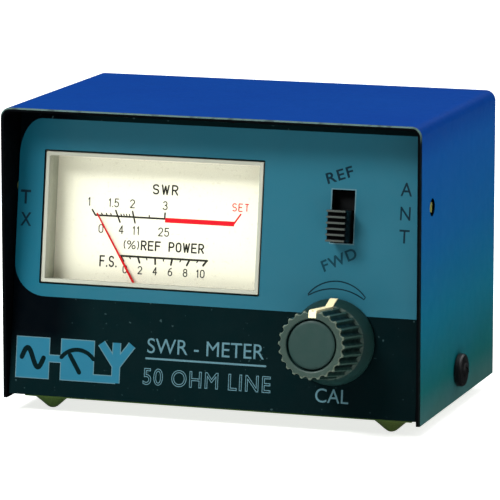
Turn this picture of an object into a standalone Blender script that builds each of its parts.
"""A small bench SWR meter: a blue steel cover over a leaned-back front panel with a moving-coil meter, a
forward/reflected slide switch and a calibration knob, and two coaxial sockets at the back.

Run with: blender --background --python part.py

The instrument stands on the plane Z = 0, faces -Y, and is centred on the Z axis. Pieces on the front are
placed in the panel's own frame: X across, Y into the case from the panel's front face, Z up the slope."""

import math

import bmesh
import bpy
from mathutils import Matrix, Vector

MM = 0.001
GAP = 0.3 * MM  # clearance between pieces that touch in the real instrument

# Cover and chassis
SHEET = 1.0 * MM
COVER_WIDTH = 105 * MM
COVER_HEIGHT = 71 * MM
COVER_DEPTH = 66 * MM
COVER_BASE_Z = 3.5 * MM
COVER_BEND = 2.0 * MM
CHASSIS_BEND = 1.5 * MM
FOOT_HEIGHT = 3.8 * MM
FOOT_INSET = (43 * MM, 9 * MM)  # from the middle, and from the cover's front or back edge
REAR_PLATE_INSET = 1.0 * MM
TOP_FLANGE = 7 * MM

# Front panel, which leans back
LEAN = math.radians(8.5)
PANEL_RECESS = 0.7 * MM
PANEL_BASE_Z = 4.7 * MM
PANEL_THICKNESS = 0.5 * MM
PANEL_FOOT = -0.2 * MM
WINDOW = (-44.6 * MM, 11.2 * MM, 27 * MM, 59.2 * MM)  # left, right, bottom, top
SLOT_AT = (31.1 * MM, 47 * MM)
SLOT_SIZE = (5.6 * MM, 12.6 * MM)
KNOB_AT = (30.3 * MM, 17.3 * MM)
TONGUE_HEIGHT = 50.3 * MM

# Meter movement
DIAL_DEPTH = 6.5 * MM
DIAL_THICKNESS = 0.5 * MM
PIVOT_AT = (-16.3 * MM, 18.3 * MM)
NEEDLE_DEPTH = 5.3 * MM
NEEDLE_REST = math.radians(32.4)  # left of straight up
NEEDLE_LENGTH = 30.8 * MM
CASE_SIZE = (62 * MM, 54 * MM)
CASE_BOTTOM = 7.8 * MM
CASE_BACK = 27 * MM
CASE_WALL = 1.2 * MM

# Knob
KNOB_HEIGHT = 18 * MM
KNOB_FACE_RADIUS = 8.15 * MM
KNOB_SKIRT_RADIUS = 10.3 * MM
FLUTES = 24

# Slide switch
SLIDER_SIZE = (4.7 * MM, 7.5 * MM)
SLIDER_PROUD = 5.8 * MM
SLIDER_MARGIN = 0.4 * MM

# Cover screws
COVER_SCREW_AT = (33 * MM, 10.7 * MM)  # from the cover's front edge, and above the ground
SCREW_SEGMENTS = 16

# Rear sockets
SOCKET_X = 27 * MM
SOCKET_Z = 36 * MM
SOCKET_FLANGE = 25.4 * MM
SOCKET_REACH = 13.1 * MM  # beyond the rear plate
FLANGE_HOLE_OFFSET = 9.1 * MM
BOARD_SIZE = (84 * MM, 1.6 * MM, 32 * MM)
BOARD_INSET = 12.5 * MM  # its back face, forward of the rear plate's front face

# The knob's lowest rim point is foremost and the sockets end rearmost; the middle of the two is Y = 0.
PANEL_AT_KNOB = PANEL_RECESS + KNOB_AT[1] * math.sin(LEAN)
KNOB_REACH = KNOB_HEIGHT * math.cos(LEAN) + KNOB_FACE_RADIUS * math.sin(LEAN) - PANEL_AT_KNOB
FRONT_Y = (KNOB_REACH - (COVER_DEPTH - REAR_PLATE_INSET + SOCKET_REACH)) / 2
REAR_PLATE_Y = FRONT_Y + COVER_DEPTH - REAR_PLATE_INSET  # its outer face
CHASSIS_WIDTH = COVER_WIDTH - 2 * (SHEET + GAP)
FLOOR_Z = FOOT_HEIGHT
CHASSIS_TOP_Z = COVER_BASE_Z + COVER_HEIGHT - SHEET - GAP
PLATE_DEPTH = PANEL_THICKNESS + GAP  # the chassis's front wall starts this far behind the panel's face
PLATE_BACK = PLATE_DEPTH + SHEET

COLOURS = {
    "blue_paint": ((0.004, 0.06, 0.33), 0.4, 0.0),
    "yellow_passivate": ((0.42, 0.40, 0.16), 0.35, 1.0),
    "panel_print": ((0.03, 0.15, 0.21), 0.45, 0.0),
    "black_oxide": ((0.02, 0.02, 0.02), 0.4, 0.6),
    "ivory_plastic": ((0.75, 0.75, 0.66), 0.4, 0.0),
    "clear_plastic": ((0.9, 0.92, 0.92), 0.05, 0.0),
    "dial_white": ((0.93, 0.91, 0.82), 0.6, 0.0),
    "needle_red": ((0.6, 0.01, 0.02), 0.4, 0.0),
    "black_plastic": ((0.02, 0.022, 0.025), 0.35, 0.0),
    "knob_plastic": ((0.04, 0.07, 0.065), 0.4, 0.0),
    "copper": ((0.7, 0.3, 0.15), 0.35, 1.0),
    "brass": ((0.7, 0.52, 0.22), 0.3, 1.0),
    "bright_steel": ((0.6, 0.6, 0.6), 0.3, 1.0),
    "magnet_alloy": ((0.3, 0.3, 0.32), 0.4, 1.0),
    "nickel": ((0.62, 0.6, 0.56), 0.2, 1.0),
    "phenolic": ((0.22, 0.1, 0.04), 0.5, 0.0),
    "white_insulator": ((0.85, 0.84, 0.8), 0.35, 0.0),
    "diode_glass": ((0.5, 0.2, 0.1), 0.1, 0.0),
    "resistor_body": ((0.55, 0.42, 0.25), 0.5, 0.0),
    "wire_red": ((0.5, 0.02, 0.02), 0.45, 0.0),
    "wire_black": ((0.02, 0.02, 0.02), 0.45, 0.0),
    "wire_white": ((0.8, 0.8, 0.78), 0.45, 0.0),
}

OUTWARD = (math.pi / 2, 0, 0)  # turns local Z to the panel's outward normal
ALONG_X = (0, math.pi / 2, 0)
REARWARD = (-math.pi / 2, 0, 0)  # turns local Z to +Y


# ---------------------------------------------------------------- scene and helpers

def clear_scene():
    for obj in list(bpy.data.objects):
        bpy.data.objects.remove(obj, do_unlink=True)


def new_collection(name):
    collection = bpy.data.collections.new(name)
    bpy.context.scene.collection.children.link(collection)
    return collection


def principled(name):
    if name in bpy.data.materials:
        return bpy.data.materials[name]
    colour, roughness, metallic = COLOURS[name]
    material = bpy.data.materials.new(name)
    material.use_nodes = True
    shader = material.node_tree.nodes["Principled BSDF"]
    shader.inputs["Base Color"].default_value = (*colour, 1)
    shader.inputs["Roughness"].default_value = roughness
    shader.inputs["Metallic"].default_value = metallic
    return material


def empty(name, at, turn=(0, 0, 0), parent=None):
    obj = bpy.data.objects.new(name, None)
    PARTS.objects.link(obj)
    obj.location, obj.rotation_euler, obj.parent = at, turn, parent
    return obj


def place(name, data, material, at=(0, 0, 0), turn=(0, 0, 0), parent=None):
    """A new object. With no material it is a helper, kept out of the model."""
    obj = bpy.data.objects.new(name, data)
    obj.location, obj.rotation_euler, obj.parent = at, turn, parent
    if material:
        PARTS.objects.link(obj)
        data.materials.clear()
        data.materials.append(principled(material))
    else:
        CUTTERS.objects.link(obj)
        obj.hide_render = True
        obj.display_type = "WIRE"
    return obj


def mesh_from(bm, name, smooth=False):
    bmesh.ops.recalc_face_normals(bm, faces=bm.faces)
    mesh = bpy.data.meshes.new(name)
    bm.to_mesh(mesh)
    bm.free()
    if smooth:
        mesh.shade_smooth()
        mesh.set_sharp_from_angle(angle=math.radians(35))
    return mesh


def box(name, low, high, material=None, parent=None):
    """A block between two corners, given in its parent's frame."""
    low, high = Vector(low), Vector(high)
    bm = bmesh.new()
    bmesh.ops.create_cube(bm, size=1)
    bmesh.ops.scale(bm, vec=high - low, verts=bm.verts)
    return place(name, mesh_from(bm, name), material, (low + high) / 2, parent=parent)


def rod(name, radius, length, at, turn, material=None, parent=None, segments=16, end_radius=None):
    """A cylinder, or a cone with its end_radius at local +Z, centred on its place."""
    bm = bmesh.new()
    far = radius if end_radius is None else end_radius
    bmesh.ops.create_cone(bm, cap_ends=True, segments=segments, radius1=radius, radius2=far, depth=length)
    return place(name, mesh_from(bm, name, smooth=True), material, at, turn, parent)


def turned(name, profile, material, at=(0, 0, 0), turn=(0, 0, 0), parent=None, steps=24, ring=False):
    """A solid of revolution about local Z. The profile holds (radius, height) in millimetres and runs down
    the outer side; a ring's profile comes back up the inside and closes."""
    mesh = bpy.data.meshes.new(name)
    points = [(radius * MM, 0, height * MM) for radius, height in profile]
    edges = [(i, i + 1) for i in range(len(points) - 1)]
    if ring:
        edges.append((len(points) - 1, 0))
    mesh.from_pydata(points, edges, [])
    obj = place(name, mesh, material, at, turn, parent)
    screw = obj.modifiers.new("turn", "SCREW")
    screw.steps = screw.render_steps = steps
    screw.use_merge_vertices = True
    screw.merge_threshold = 0.00001
    screw.use_smooth_shade = True
    return obj


def combine(obj, other, operation="DIFFERENCE"):
    boolean = obj.modifiers.new(operation.lower(), "BOOLEAN")
    boolean.operation = operation
    boolean.object = other
    boolean.solver = "EXACT"


def cut(obj, *cutters):
    for cutter in cutters:
        combine(obj, cutter)


def join(obj, *others):
    for other in others:
        combine(obj, other, "UNION")


def rounded(points, radius, steps):
    """The same open path, given as 2D points, with each inner corner turned into an arc."""
    path = [Vector(points[0])]
    for before, corner, after in zip(points, points[1:], points[2:]):
        corner = Vector(corner)
        back = (Vector(before) - corner).normalized()
        onward = (Vector(after) - corner).normalized()
        half = back.angle(onward) / 2
        centre = corner + (back + onward).normalized() * radius / math.sin(half)
        start = corner + back * radius / math.tan(half) - centre
        end = corner + onward * radius / math.tan(half) - centre
        sweep = start.angle(end)
        for step in range(steps + 1):
            t = step / steps
            arc = (start * math.sin((1 - t) * sweep) + end * math.sin(t * sweep)) / math.sin(sweep)
            path.append(centre + arc)
    path.append(Vector(points[-1]))
    return path


def folded_sheet(name, path, along, material):
    """Sheet metal: a path of points drawn along a vector, and thickened both ways."""
    bm = bmesh.new()
    verts = [bm.verts.new(point) for point in path]
    edges = [bm.edges.new(pair) for pair in zip(verts, verts[1:])]
    drawn = bmesh.ops.extrude_edge_only(bm, edges=edges)["geom"]
    moved = [item for item in drawn if isinstance(item, bmesh.types.BMVert)]
    bmesh.ops.translate(bm, vec=along, verts=moved)
    obj = place(name, mesh_from(bm, name), material)
    solidify = obj.modifiers.new("sheet", "SOLIDIFY")
    solidify.thickness = SHEET
    solidify.offset = 0
    solidify.use_even_offset = True
    return obj


def curve_wire(name, path, radius, material, resolution=1):
    """A round conductor along a path of points in world space."""
    curve = bpy.data.curves.new(name, "CURVE")
    curve.dimensions = "3D"
    spline = curve.splines.new("POLY")
    spline.points.add(len(path) - 1)
    for point, at in zip(spline.points, path):
        point.co = (*at, 1)
    curve.bevel_depth = radius
    curve.bevel_resolution = resolution
    curve.use_fill_caps = True
    return place(name, curve, material)


def bent_wire(name, path, radius, material):
    """A wire through a few points, its corners eased into short bends."""
    eased = [path[0]]
    for before, corner, after in zip(path, path[1:], path[2:]):
        reach = min((before - corner).length, (after - corner).length) * 0.4
        start = corner + (before - corner).normalized() * reach
        end = corner + (after - corner).normalized() * reach
        eased += [start, (start + end) / 4 + corner / 2, end]
    eased.append(path[-1])
    return curve_wire(name, eased, radius, material)


def cross_recess(obj, name, at, turn, arm, parent=None):
    """Cuts a cross for a screwdriver, centred on the place given, its arms across local X and Y."""
    for index in range(2):
        bm = bmesh.new()
        bmesh.ops.create_cube(bm, size=1)
        bmesh.ops.scale(bm, vec=Vector((arm, 0.22 * arm, 0.7 * arm)), verts=bm.verts)
        quarter = Matrix.Rotation(math.radians(45 + 90 * index), 3, "Z")
        bmesh.ops.rotate(bm, matrix=quarter, verts=bm.verts)
        cut(obj, place(f"{name}_cross_{index}", mesh_from(bm, name), None, at, turn, parent))


def panel_point(x, depth, height):
    """World place of a point in the leaned panel's frame."""
    y = FRONT_Y + PANEL_RECESS + depth * math.cos(LEAN) + height * math.sin(LEAN)
    return Vector((x, y, PANEL_BASE_Z - depth * math.sin(LEAN) + height * math.cos(LEAN)))


def at_depths(profile):
    """A turned profile given by depth behind the panel, as heights towards the front."""
    return [(radius, -depth) for radius, depth in profile]


# ---------------------------------------------------------------- cover, chassis and front panel

def make_cover():
    half = (COVER_WIDTH - SHEET) / 2
    top = COVER_BASE_Z + COVER_HEIGHT - SHEET / 2
    corners = [(-half, COVER_BASE_Z), (-half, top), (half, top), (half, COVER_BASE_Z)]
    path = [Vector((x, FRONT_Y, z)) for x, z in rounded(corners, COVER_BEND, 4)]
    cover = folded_sheet("cover", path, (0, COVER_DEPTH, 0), "blue_paint")
    tongue = panel_point(0, PLATE_DEPTH + SHEET / 2, TONGUE_HEIGHT)
    screw_y, screw_z = FRONT_Y + COVER_SCREW_AT[0], COVER_SCREW_AT[1]
    through = COVER_WIDTH + 10 * MM
    cut(cover, rod("cover_screw_bore", 2.2 * MM, through, (0, screw_y, screw_z), ALONG_X))
    cut(cover, rod("tongue_bore", 1.8 * MM, through, (0, tongue.y, tongue.z), ALONG_X))


def cover_screw(name, side):
    at = (side * COVER_WIDTH / 2, FRONT_Y + COVER_SCREW_AT[0], COVER_SCREW_AT[1])
    turn = (0, side * math.pi / 2, 0)
    profile = [(0, 2.7), (1.9, 2.6), (3.2, 2.0), (3.9, 1.1), (4.0, 0.3), (1.7, 0.3), (1.7, -7.5), (0, -9)]
    screw = turned(name, profile, "black_oxide", at, turn, steps=SCREW_SEGMENTS)
    cross_recess(screw, name, (at[0] + side * 2.7 * MM, at[1], at[2]), turn, arm=4 * MM)


def chassis_sheet():
    """Front wall, floor and rear wall, folded from one strip; the front wall ends in a short top flange."""
    middle = PLATE_DEPTH + SHEET / 2
    floor, flange = FLOOR_Z + SHEET / 2, CHASSIS_TOP_Z - SHEET / 2
    rear = REAR_PLATE_Y - SHEET / 2

    def front(z):
        rise = (z - PANEL_BASE_Z) * math.tan(LEAN)
        return FRONT_Y + PANEL_RECESS + middle / math.cos(LEAN) + rise

    corners = [
        (front(flange) + TOP_FLANGE, flange),
        (front(flange), flange),
        (front(floor), floor),
        (rear, floor),
        (rear, CHASSIS_TOP_Z),
    ]
    path = [Vector((-CHASSIS_WIDTH / 2, y, z)) for y, z in rounded(corners, CHASSIS_BEND, 3)]
    return folded_sheet("chassis", path, (CHASSIS_WIDTH, 0, 0), "yellow_passivate")


def add_feet(chassis):
    """Four feet pressed down out of the floor: the same form, a sheet lower outside than inside."""
    form = [(5.0, -0.4), (4.1, -1.1), (3.0, -2.0), (2.0, -2.9), (1.2, -3.55), (0.7, -3.8), (0, -3.8)]
    outside = [(0, 0.6), (5.8, 0.3)] + form
    inside = [(0, 1.4), (5.8, 0.3)] + form
    for x in (-FOOT_INSET[0], FOOT_INSET[0]):
        for y in (FRONT_Y + FOOT_INSET[1], FRONT_Y + COVER_DEPTH - FOOT_INSET[1]):
            join(chassis, turned("foot", outside, None, (x, y, FLOOR_Z), steps=16))
            cut(chassis, turned("foot_hollow", inside, None, (x, y, FLOOR_Z + SHEET), steps=12))


def add_cover_tabs(chassis):
    """At each side, a tab up from the floor for the cover screw, and the tongue that locates the cover."""
    half = CHASSIS_WIDTH / 2
    screw_y, screw_z = FRONT_Y + COVER_SCREW_AT[0], COVER_SCREW_AT[1]
    for side in (-1, 1):
        near, far = sorted((side * (half - 1.1 * MM), side * (half - 0.1 * MM)))
        low = (near, screw_y - 6 * MM, FLOOR_Z + 0.2 * MM)
        join(chassis, box("screw_tab", low, (far, screw_y + 6 * MM, screw_z + 4.5 * MM)))
        near, far = sorted((side * (half - 1.5 * MM), side * (half + 1.1 * MM)))
        low = (near, PLATE_DEPTH + 0.1 * MM, TONGUE_HEIGHT - 1.2 * MM)
        high = (far, PLATE_BACK - 0.1 * MM, TONGUE_HEIGHT + 1.2 * MM)
        join(chassis, box("tongue", low, high, parent=PANEL))
    cut(chassis, rod("screw_tab_bore", 2 * MM, 2 * half, (0, screw_y, screw_z), ALONG_X))


def cut_front_wall(chassis):
    left, right, bottom, top = WINDOW
    near, far, ease = PLATE_DEPTH - SHEET, PLATE_BACK + SHEET, 0.5 * MM
    low, high = (left - ease, near, bottom - ease), (right + ease, far, top + ease)
    cut(chassis, box("window_opening", low, high, parent=PANEL))
    x, z = SLOT_AT
    across, up = SLOT_SIZE[0] / 2 + ease, SLOT_SIZE[1] / 2 + ease
    cut(chassis, box("slot_opening", (x - across, near, z - up), (x + across, far, z + up), parent=PANEL))
    x, z = KNOB_AT
    cut(chassis, rod("pot_hole", 5 * MM, 4 * SHEET, (x, PLATE_DEPTH, z), OUTWARD, parent=PANEL))
    for x, z in rivet_places():
        at = (x, PLATE_DEPTH + SHEET / 2, z)
        bore = rod("rivet_bore", 1.3 * MM, 4 * SHEET, at, OUTWARD, parent=PANEL, segments=12)
        flare = rod("rivet_flare", 0.8 * MM, 2 * SHEET, at, OUTWARD, None, PANEL, 12, 3.6 * MM)
        cut(chassis, bore, flare)


def cut_rear_wall(chassis):
    for side in (-1, 1):
        at = (side * SOCKET_X, REAR_PLATE_Y, SOCKET_Z)
        cut(chassis, rod("socket_hole", 6.7 * MM, 4 * SHEET, at, REARWARD))
        for x, z in socket_screw_places(side):
            cut(chassis, rod("socket_screw_hole", 1.6 * MM, 4 * SHEET, (x, REAR_PLATE_Y, z), REARWARD,
                             segments=12))


def clip_top_corners(obj):
    """Clears the inside of the cover's two bends."""
    for side in (-1, 1):
        at = (side * CHASSIS_WIDTH / 2, 0, CHASSIS_TOP_Z)
        cut(obj, rod("corner_clip", 1.1 * MM, 2 * COVER_DEPTH, at, REARWARD, segments=4))


def make_chassis():
    chassis = chassis_sheet()
    add_feet(chassis)
    add_cover_tabs(chassis)
    cut_front_wall(chassis)
    cut_rear_wall(chassis)
    clip_top_corners(chassis)


def make_front_panel():
    top = (CHASSIS_TOP_Z - PANEL_BASE_Z) / math.cos(LEAN)
    low, high = (-CHASSIS_WIDTH / 2, 0, PANEL_FOOT), (CHASSIS_WIDTH / 2, PANEL_THICKNESS, top)
    panel = box("front_panel", low, high, "panel_print", PANEL)
    left, right, bottom, top = WINDOW
    beyond = 2 * PANEL_THICKNESS
    cut(panel, box("window_hole", (left, -beyond, bottom), (right, beyond, top), parent=PANEL))
    x, z = SLOT_AT
    across, up = SLOT_SIZE[0] / 2, SLOT_SIZE[1] / 2
    cut(panel, box("slot", (x - across, -beyond, z - up), (x + across, beyond, z + up), parent=PANEL))
    x, z = KNOB_AT
    cut(panel, rod("knob_hole", 5.2 * MM, 4 * PANEL_THICKNESS, (x, 0, z), OUTWARD, parent=PANEL))
    clip_top_corners(panel)


# ---------------------------------------------------------------- panel meter

def window_box(name, inset, near, far, material=None):
    left, right, bottom, top = WINDOW
    low, high = (left + inset, near, bottom + inset), (right - inset, far, top - inset)
    return box(name, low, high, material, PANEL)


def case_span():
    """Left, right, bottom and top of the meter's case."""
    middle = (WINDOW[0] + WINDOW[1]) / 2
    half = CASE_SIZE[0] / 2
    return middle - half, middle + half, CASE_BOTTOM, CASE_BOTTOM + CASE_SIZE[1]


def make_meter_housing():
    left, right, bottom, top = case_span()
    front = PLATE_BACK + GAP
    bezel = box("meter_bezel", (left, front, bottom), (right, front + CASE_WALL, top), "ivory_plastic", PANEL)
    join(bezel, window_box("bezel_rim", GAP, 0.1 * MM, DIAL_DEPTH - GAP))
    cut(bezel, window_box("bezel_opening", GAP + 0.9 * MM, -SHEET, 2 * DIAL_DEPTH))
    low = (WINDOW[0] + 1.5 * MM, NEEDLE_DEPTH - 0.9 * MM, WINDOW[2] - MM)
    high = (WINDOW[1] - 1.5 * MM, 2 * DIAL_DEPTH, WINDOW[2] + 3 * MM)
    cut(bezel, box("needle_relief", low, high, parent=PANEL))
    window_box("meter_window", 2 * GAP + 0.9 * MM, 0.8 * MM, 2 * MM, "clear_plastic")

    wall, inside = CASE_WALL, CASE_WALL + GAP
    case_front = front + CASE_WALL + GAP
    case = box("meter_case", (left, case_front, bottom), (right, CASE_BACK, top), "black_plastic", PANEL)
    low, high = (left + wall, 0, bottom + wall), (right - wall, CASE_BACK - wall, top - wall)
    cut(case, box("case_hollow", low, high, parent=PANEL))
    low = (left + inside, DIAL_DEPTH, WINDOW[2] - 1.2 * MM)
    high = (right - inside, DIAL_DEPTH + DIAL_THICKNESS, top - inside)
    box("dial_plate", low, high, "dial_white", PANEL)
    for name, x in terminal_places():
        at = (x, CASE_BACK, CASE_BOTTOM + 30 * MM)
        cut(case, rod("terminal_bore", 1.5 * MM, 4 * wall, at, OUTWARD, parent=PANEL, segments=12))
        profile = [(0, 2.9), (2.4, 2.9), (2.4, 1.6), (1.2, 1.6), (1.2, -0.4), (2.6, -0.4), (2.6, -2.2),
                   (1.2, -2.2), (1.2, -5.6), (0, -5.6)]
        turned(name, profile, "brass", at, OUTWARD, PANEL, steps=12)


def terminal_places():
    return [("meter_terminal_left", PIVOT_AT[0] - 14 * MM), ("meter_terminal_right", PIVOT_AT[0] + 14 * MM)]


def make_movement():
    """Magnet inside the coil, yoke ring outside it, and a bearing bridge at each end of the pivots."""
    turned("core_magnet", at_depths([(0, 10.3), (4.2, 10.3), (4.2, 16.7), (0, 16.7)]), "magnet_alloy",
           parent=NEEDLE_AXIS, steps=20)
    ring = [(8.6, 10.3), (8.6, 16.7), (6.0, 16.7), (6.0, 10.3)]
    yoke = turned("yoke_ring", at_depths(ring), "bright_steel", parent=NEEDLE_AXIS, ring=True)
    for side in (-1, 1):
        near, far = sorted((side * 4.5 * MM, side * 6.6 * MM))
        low, high = (-1.2 * MM, near, -16 * MM), (1.2 * MM, far, -11 * MM)
        join(yoke, box("magnet_arm", low, high, parent=NEEDLE_AXIS))
    bearing_bridge("front_bridge", (3.7, 4.4), 10.0)
    bearing_bridge("rear_bridge", (22.7, 23.4), 17.0)


def bearing_bridge(name, strap, foot):
    """A strap across the pivot at the depths given, with two legs to the yoke ring's face at a depth."""
    low, high = (-8.2 * MM, -1.5 * MM, -strap[1] * MM), (8.2 * MM, 1.5 * MM, -strap[0] * MM)
    bridge = box(name, low, high, "brass", NEEDLE_AXIS)
    near, far = sorted((foot, sum(strap) / 2))
    for side in (-1, 1):
        left, right = sorted((side * 6.7 * MM, side * 8.1 * MM))
        low, high = (left, -1.4 * MM, -far * MM), (right, 1.4 * MM, -near * MM)
        join(bridge, box("bridge_leg", low, high, parent=NEEDLE_AXIS))


def make_needle():
    """The moving pieces, built pointing up and turned to rest: needle, coil and the two pivots."""
    turn = (0, 0, NEEDLE_REST)
    hub = turned("needle", at_depths([(2.0, 4.9), (2.0, 5.7), (0.8, 5.7), (0.8, 4.9)]), "needle_red",
                 turn=turn, parent=NEEDLE_AXIS, steps=16, ring=True)
    middle = NEEDLE_LENGTH / 2 + 0.7 * MM
    blade = rod("needle_blade", 0.5 * MM, NEEDLE_LENGTH - 1.4 * MM, (0, middle, -NEEDLE_DEPTH),
                (-math.pi / 2, 0, 0), None, NEEDLE_TURN, 8, 0.28 * MM)
    blade.scale = (1, 0.5, 1)
    tail = box("needle_tail", (-0.5 * MM, -6 * MM, -5.5 * MM), (0.5 * MM, -1.4 * MM, -5.1 * MM),
               parent=NEEDLE_TURN)
    weight = rod("needle_weight", 1.1 * MM, 0.7 * MM, (0, -5.6 * MM, -NEEDLE_DEPTH), (0, 0, 0), None,
                 NEEDLE_TURN, 12)
    join(hub, blade, tail, weight)

    coil = box("moving_coil", (-5.3 * MM, -1.2 * MM, -18 * MM), (5.3 * MM, 1.2 * MM, -9 * MM), "copper",
               NEEDLE_TURN)
    low, high = (-4.6 * MM, -3 * MM, -17.3 * MM), (4.6 * MM, 3 * MM, -9.7 * MM)
    cut(coil, box("coil_opening", low, high, parent=NEEDLE_TURN))
    pivot = [(0, 4.7), (0.45, 5.2), (0.45, 7.9), (1.1, 7.9), (1.1, 8.7), (0, 8.7)]
    turned("front_pivot", at_depths(pivot), "bright_steel", parent=NEEDLE_AXIS, steps=12)
    pivot = [(0, 18.3), (1.1, 18.3), (1.1, 19.1), (0.45, 19.1), (0.45, 21.9), (0, 22.4)]
    turned("rear_pivot", at_depths(pivot), "bright_steel", parent=NEEDLE_AXIS, steps=12)


def make_hairspring(name, depth):
    """A flat spiral round the pivot, from its collar out to a fixed end."""
    turns, points_a_turn, inner, outer = 2.5, 14, 1.1 * MM, 3.4 * MM
    count = int(turns * points_a_turn)
    centre_x, centre_z = PIVOT_AT
    path = []
    for index in range(count + 1):
        t = index / count
        radius, angle = inner + (outer - inner) * t, math.tau * turns * t
        path.append(panel_point(centre_x + radius * math.cos(angle), depth,
                                centre_z + radius * math.sin(angle)))
    curve_wire(name, path, 0.13 * MM, "copper", resolution=0)


# ---------------------------------------------------------------- slide switch

def rivet_places():
    x, z = SLOT_AT
    return [(x, z + side * 12.3 * MM) for side in (1, -1)]


def switch_box(name, across, up, depths, material=None, shift=0.0):
    """A block centred on the switch, with half sizes across and up and two depths, in millimetres."""
    x, z = SLOT_AT[0], SLOT_AT[1] + shift * MM
    low = (x - across * MM, depths[0] * MM, z - up * MM)
    return box(name, low, (x + across * MM, depths[1] * MM, z + up * MM), material, PANEL)


def make_switch():
    frame = switch_box("switch_frame", 4.2, 14.5, (2.1, 2.9), "bright_steel")
    join(frame, switch_box("frame_body", 4.2, 9, (2.8, 9)))
    cut(frame, switch_box("frame_hollow", 3.4, 12, (2.9, 10)))
    cut(frame, switch_box("frame_window", 2.8, 6.3, (1, 4)))
    for x, z in rivet_places():
        cut(frame, rod("frame_hole", 1.3 * MM, 4 * MM, (x, 2 * MM, z), OUTWARD, parent=PANEL, segments=12))
    base = switch_box("switch_base", 4.2, 9, (9.3, 11.3), "phenolic")
    for number, shift in enumerate((-5, 0, 5), start=1):
        cut(base, switch_box("terminal_slot", 1.1, 0.6, (9, 12), shift=shift))
        switch_box(f"switch_terminal_{number}", 0.8, 0.25, (8.4, 16), "brass", shift)
    for name, (x, z) in zip(("switch_rivet_upper", "switch_rivet_lower"), rivet_places()):
        profile = [(0, 0.9), (1.9, 0.9), (1.0, 1.8), (1.0, 3.2), (1.9, 3.2), (1.6, 4.0), (0, 4.2)]
        turned(name, at_depths(profile), "bright_steel", (x, 0, z), OUTWARD, PANEL, steps=12)


def make_slider():
    """The slider at its lower stop: a ribbed knob through the slot, and a foot inside the frame."""
    x = SLOT_AT[0]
    low_stop = SLOT_AT[1] - SLOT_SIZE[1] / 2 + SLIDER_MARGIN
    across, height = SLIDER_SIZE
    middle = low_stop + height / 2
    low = (x - across / 2, -SLIDER_PROUD, low_stop)
    slider = box("switch_slider", low, (x + across / 2, 4 * MM, low_stop + height), "black_plastic", PANEL)
    low, high = (x - 3.0 * MM, 3.3 * MM, middle - 6 * MM), (x + 3.0 * MM, 7 * MM, middle + 6 * MM)
    join(slider, box("slider_foot", low, high, parent=PANEL))
    for index in range(5):
        top = low_stop + height - (1.3 + 1.3 * index) * MM
        low = (x - across, -SLIDER_PROUD - MM, top - 0.65 * MM)
        high = (x + across, -SLIDER_PROUD + 0.6 * MM, top)
        cut(slider, box("slider_groove", low, high, parent=PANEL))


# ---------------------------------------------------------------- calibration control

def make_potentiometer():
    body = [(0, -8.5), (3.3, -8.5), (3.3, 5.5), (4.5, 5.5), (4.5, -2.1), (8.2, -2.1), (8.2, -10.5),
            (0, -10.5)]
    turned("cal_pot_body", body, "bright_steel", parent=KNOB_AXIS)
    shaft = [(0, 14.7), (2.6, 14.7), (3.0, 14.2), (3.0, -8.2), (0, -8.2)]
    turned("cal_pot_shaft", shaft, "bright_steel", parent=KNOB_AXIS, steps=20)
    turned("cal_pot_washer", [(7.0, 0.8), (7.0, 0.3), (4.8, 0.3), (4.8, 0.8)], "bright_steel",
           parent=KNOB_AXIS, ring=True)
    nut = rod("cal_pot_nut", 6.9 * MM, 2.2 * MM, (0, 0, 2.2 * MM), (0, 0, 0), "nickel", KNOB_AXIS, 6)
    cut(nut, rod("nut_bore", 4.8 * MM, 6 * MM, (0, 0, 2.2 * MM), (0, 0, 0), None, KNOB_AXIS, 24))
    lugs = rod("cal_pot_lugs", 7.4 * MM, 1.4 * MM, (0, 0, -11.5 * MM), (0, 0, 0), "phenolic", KNOB_AXIS, 20)
    for x in (-5, 0, 5):
        low, high = ((x - 0.9) * MM, -12.5 * MM, -11.8 * MM), ((x + 0.9) * MM, -4 * MM, -11.2 * MM)
        join(lugs, box("pot_lug", low, high, parent=KNOB_AXIS))


def make_knob():
    """Turned from a profile, with flutes pressed into the grip between the face and the skirt."""
    face, skirt, height = KNOB_FACE_RADIUS, KNOB_SKIRT_RADIUS, KNOB_HEIGHT
    grip = [(face, height - 0.4 * MM), (face + 0.2 * MM, 11 * MM), (face + 0.4 * MM, 5.4 * MM)]
    outside = [(0, 16.5 * MM), (6.1 * MM, 16.5 * MM), (6.1 * MM, height), (face - 0.4 * MM, height)] + grip
    flare = [(face + 0.9 * MM, 4.2 * MM), (skirt - 0.15 * MM, 1.8 * MM), (skirt, 0.6 * MM)]
    bore = [(7.5 * MM, 0.6 * MM), (7.5 * MM, 6 * MM), (3.3 * MM, 6 * MM), (3.3 * MM, 15 * MM), (0, 15 * MM)]
    profile = outside + flare + bore
    bm = bmesh.new()
    verts = [bm.verts.new((0, radius, z)) for radius, z in profile]
    edges = [bm.edges.new(pair) for pair in zip(verts, verts[1:])]
    bmesh.ops.spin(bm, geom=verts + edges, cent=(0, 0, 0), axis=(0, 0, 1), angle=math.tau,
                   steps=2 * FLUTES, use_merge=True)
    bmesh.ops.remove_doubles(bm, verts=bm.verts, dist=0.01 * MM)
    grooved = {round(z, 6) for _, z in grip} | {round(height, 6)}
    for vert in bm.verts:
        column = round(math.atan2(vert.co.x, vert.co.y) / (math.pi / FLUTES))
        outer = math.hypot(vert.co.x, vert.co.y) > 7 * MM
        if column % 2 and outer and round(vert.co.z, 6) in grooved:
            vert.co.x *= 0.95
            vert.co.y *= 0.95
    place("cal_knob", mesh_from(bm, "cal_knob"), "knob_plastic", parent=KNOB_AXIS)
    turned("knob_cap", [(0, 17.6), (5.4, 17.6), (5.7, 17.4), (5.7, 16.8), (0, 16.8)], "knob_plastic",
           parent=KNOB_AXIS, steps=32)


# ---------------------------------------------------------------- rear sockets and coupler

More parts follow.
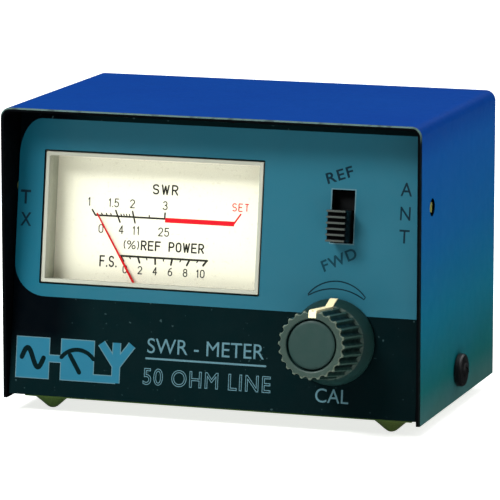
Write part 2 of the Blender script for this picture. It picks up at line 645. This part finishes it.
def socket_screw_places(side):
    x, offset = side * SOCKET_X, FLANGE_HOLE_OFFSET
    return [(x - offset, SOCKET_Z + offset), (x + offset, SOCKET_Z - offset)]


def make_socket(name, side):
    at = (side * SOCKET_X, REAR_PLATE_Y, SOCKET_Z)
    half = SOCKET_FLANGE / 2
    low = (at[0] - half, REAR_PLATE_Y + GAP, SOCKET_Z - half)
    high = (at[0] + half, REAR_PLATE_Y + GAP + 1.6 * MM, SOCKET_Z + half)
    shell = box(f"{name}_socket_shell", low, high, "nickel")
    barrel = [(0, 13.1), (7.4, 13.1), (7.9, 12.6), (7.9, 1.2), (6.3, 1.2), (6.3, -4), (0, -4)]
    join(shell, turned("barrel", barrel, None, at, REARWARD, steps=28))
    cut(shell, rod("barrel_bore", 5.9 * MM, 60 * MM, at, REARWARD, segments=28))
    for x_side in (-1, 1):
        for z_side in (-1, 1):
            hole = (at[0] + x_side * FLANGE_HOLE_OFFSET, REAR_PLATE_Y, SOCKET_Z + z_side * FLANGE_HOLE_OFFSET)
            cut(shell, rod("flange_hole", 1.6 * MM, 10 * MM, hole, REARWARD, segments=12))
    insulator = [(5.6, 9.5), (5.6, -5.5), (3.2, -5.5), (3.2, 9.5)]
    turned(f"{name}_socket_insulator", insulator, "white_insulator", at, REARWARD, ring=True)
    contact = [(0, 1), (2.0, 1), (2.0, 10.2), (2.9, 10.2), (2.9, -5.8), (1.9, -5.8), (1.9, -14), (0, -14)]
    turned(f"{name}_socket_contact", contact, "brass", at, REARWARD, steps=20)
    for number, (x, z) in enumerate(socket_screw_places(side), start=1):
        at = (x, REAR_PLATE_Y + GAP + 1.6 * MM, z)
        profile = [(0, 2.2), (1.6, 2.1), (2.5, 1.6), (2.8, 0.9), (2.8, 0.3), (1.3, 0.3), (1.3, -6), (0, -6)]
        screw = turned(f"{name}_socket_screw_{number}", profile, "bright_steel", at, REARWARD, steps=14)
        cross_recess(screw, f"{name}_screw_{number}", (x, at[1] + 2.2 * MM, z), REARWARD, arm=3 * MM)


def make_coupler():
    """The board carried by the two contacts, the through line between them and a pickup line each side."""
    face = REAR_PLATE_Y - BOARD_INSET  # the board's face towards the front
    low = (-BOARD_SIZE[0] / 2, face, SOCKET_Z - BOARD_SIZE[2] / 2)
    high = (-low[0], face + BOARD_SIZE[1], SOCKET_Z + BOARD_SIZE[2] / 2)
    board = box("coupler_board", low, high, "phenolic")
    for side in (-1, 1):
        cut(board, rod("contact_bore", 2.3 * MM, 9 * MM, (side * SOCKET_X, face, SOCKET_Z), REARWARD))
    line_y = REAR_PLATE_Y - 15.2 * MM
    length = 2 * SOCKET_X + 3 * MM
    rod("through_line", 0.9 * MM, length, (0, line_y, SOCKET_Z), ALONG_X, "copper", segments=12)
    for name, side in (("forward", 1), ("reflected", -1)):
        z = SOCKET_Z + side * 4 * MM
        path = [Vector((x * MM, y, z)) for x, y in
                ((-21, face - GAP), (-21, line_y), (21, line_y), (21, face - GAP))]
        bent_wire(f"pickup_line_{name}", path, 0.5 * MM, "copper")
        z = SOCKET_Z + side * 10.5 * MM
        diode = [(0, 8), (0.35, 8), (0.35, 3.2), (1.3, 2.9), (1.3, -2.9), (0.35, -3.2), (0.35, -8), (0, -8)]
        at = (-side * 12 * MM, face - 1.7 * MM, z)
        turned(f"diode_{name}", diode, "diode_glass", at, ALONG_X, steps=12)
        resistor = [(0, 8), (0.35, 8), (0.35, 3.4), (1.4, 3.2), (1.1, 2), (1.1, -2), (1.4, -3.2),
                    (0.35, -3.4), (0.35, -8), (0, -8)]
        at = (side * 12 * MM, face - 1.8 * MM, z)
        turned(f"resistor_{name}", resistor, "resistor_body", at, ALONG_X, steps=12)


def make_wires():
    """Five wires: each leaves its terminal straight, crosses to its other end and arrives straight."""
    face = REAR_PLATE_Y - BOARD_INSET - GAP
    switch_x, switch_z = SLOT_AT
    switch_tail = 16 * MM + GAP  # depth of a switch terminal's end
    upper, middle, lower = (panel_point(switch_x, switch_tail, switch_z + shift * MM) for shift in (5, 0, -5))
    lug_depth, lug_z = 12.2 * MM + GAP, KNOB_AT[1] - 11.5 * MM
    _, middle_lug, right_lug = (panel_point(KNOB_AT[0] + x * MM, lug_depth, lug_z) for x in (-5, 0, 5))
    stud_depth, stud_z = CASE_BACK + 5.6 * MM + GAP, CASE_BOTTOM + 30 * MM
    left_stud, right_stud = (panel_point(x, stud_depth, stud_z) for _, x in terminal_places())
    back = Vector((0, 7 * MM, 0))
    forward = Vector((0, -5 * MM, 0))
    forward_pad, reflected_pad, ground_pad = (Vector((x * MM, face, z * MM)) for x, z in
                                              ((12, 30), (2, 50), (-30, 24)))

    above_forward = Vector((22 * MM, face, 30 * MM)) + 2 * forward
    wire("wire_forward", "wire_red", lower, lower + back, above_forward, forward_pad + forward, forward_pad)
    above_reflected = Vector((20 * MM, face, 50 * MM)) + 2 * forward
    wire("wire_reflected", "wire_white", upper, upper + back, above_reflected, reflected_pad + forward,
         reflected_pad)
    beside_lug = right_lug + 1.6 * back + Vector((6 * MM, 0, 12 * MM))
    wire("wire_wiper", "wire_white", middle, middle + 1.2 * back, beside_lug, right_lug + back, right_lug)
    below_stud = right_stud + back / 2 - Vector((0, 0, 18 * MM))
    wire("wire_meter", "wire_red", middle_lug, middle_lug + 2.2 * back, below_stud, right_stud + back / 2,
         right_stud)
    wire("wire_ground", "wire_black", left_stud, left_stud + back / 2, ground_pad + 1.6 * forward, ground_pad)


def wire(name, material, *path):
    bent_wire(name, path, 0.6 * MM, material)


# ---------------------------------------------------------------- assembly

clear_scene()
PARTS = new_collection("swr_meter")
CUTTERS = new_collection("cutters")
PANEL = empty("panel_frame", panel_point(0, 0, 0), (-LEAN, 0, 0))
NEEDLE_AXIS = empty("needle_axis", (PIVOT_AT[0], 0, PIVOT_AT[1]), OUTWARD, PANEL)
NEEDLE_TURN = empty("needle_turn", (0, 0, 0), (0, 0, NEEDLE_REST), NEEDLE_AXIS)
KNOB_AXIS = empty("knob_axis", (KNOB_AT[0], 0, KNOB_AT[1]), OUTWARD, PANEL)

make_cover()
cover_screw("cover_screw_left", -1)
cover_screw("cover_screw_right", 1)
make_chassis()
make_front_panel()
make_meter_housing()
make_movement()
make_needle()
make_hairspring("front_hairspring", 7.0 * MM)
make_hairspring("rear_hairspring", 20.5 * MM)
make_switch()
make_slider()
make_potentiometer()
make_knob()
make_socket("tx", -1)
make_socket("antenna", 1)
make_coupler()
make_wires()
bpy.context.view_layer.update()
